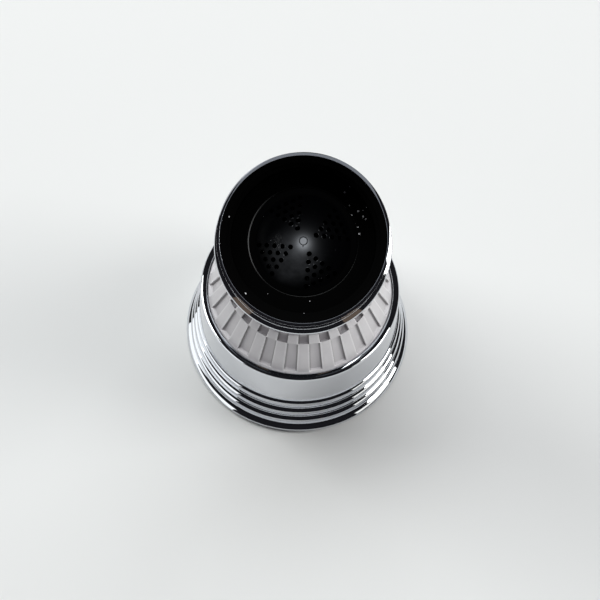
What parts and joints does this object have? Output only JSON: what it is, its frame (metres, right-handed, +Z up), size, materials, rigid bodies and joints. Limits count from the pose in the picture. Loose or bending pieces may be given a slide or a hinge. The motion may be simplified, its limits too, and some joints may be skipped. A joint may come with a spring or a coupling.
{
  "type": "swivel tap aerator",
  "caption": "Swivel tap aerator: flared chrome inlet collar tipped on a ball joint, white ribbed cap, and a chrome skirt with grip rings that slides to change from stream to spray.",
  "frame": {"origin": "centre of the skirt's base, on the surface that it stands on", "axes": "+Z up along the skirt's axis, from the outlet to the inlet; the collar is tipped towards -Y"},
  "size_m": [0.035, 0.035, 0.0493],
  "materials": {
    "skirt_chrome": "polished chrome plating",
    "collar_chrome": "polished chrome plating",
    "ball_chrome": "polished chrome plating",
    "white_plastic": "satin moulded plastic",
    "outlet_plastic": "satin moulded plastic",
    "inner_plastic": "natural moulded plastic",
    "black_plastic": "black moulded plastic",
    "strainer_plastic": "dark moulded plastic",
    "washer_rubber": "black rubber with dust specks",
    "seal_rubber": "black rubber",
    "mesh_steel": "stainless steel"
  },
  "bodies": {
    "skirt": {"skirt_shell": "skirt_chrome", "spray_plate": "outlet_plastic", "well_seal": "seal_rubber", "aerator_housing": "inner_plastic", "outlet_grid": "outlet_plastic", "lower_mesh": "mesh_steel", "upper_mesh": "mesh_steel", "mixing_disc": "inner_plastic", "flow_plate": "inner_plastic", "housing_gasket": "seal_rubber"},
    "core": {"core_body": "inner_plastic", "piston_seal": "seal_rubber", "ribbed_cap": "white_plastic"},
    "ball": {"ball_stem": "ball_chrome", "stem_seal": "seal_rubber", "stem_clip": "mesh_steel"},
    "inlet": {"collar_shell": "collar_chrome", "inlet_socket": "black_plastic", "ball_seat": "inner_plastic", "ball_retainer": "black_plastic", "strainer_dome": "strainer_plastic", "inlet_washer": "washer_rubber"}
  },
  "joints": [
    {"name": "skirt_slide", "type": "slide", "parent": "skirt", "child": "core", "axis": [0, 0, 1], "range_m": [0, 0.0035]},
    {"name": "swivel_turn", "type": "hinge", "parent": "core", "child": "ball", "pos_m": [0, 0, 0.03046], "axis": [0, 0, 1], "continuous": true},
    {"name": "swivel_tip", "type": "hinge", "parent": "ball", "child": "inlet", "pos_m": [0, 0, 0.03046], "axis": [-1, 0, 0], "range_deg": [0, 48]}
  ]
}
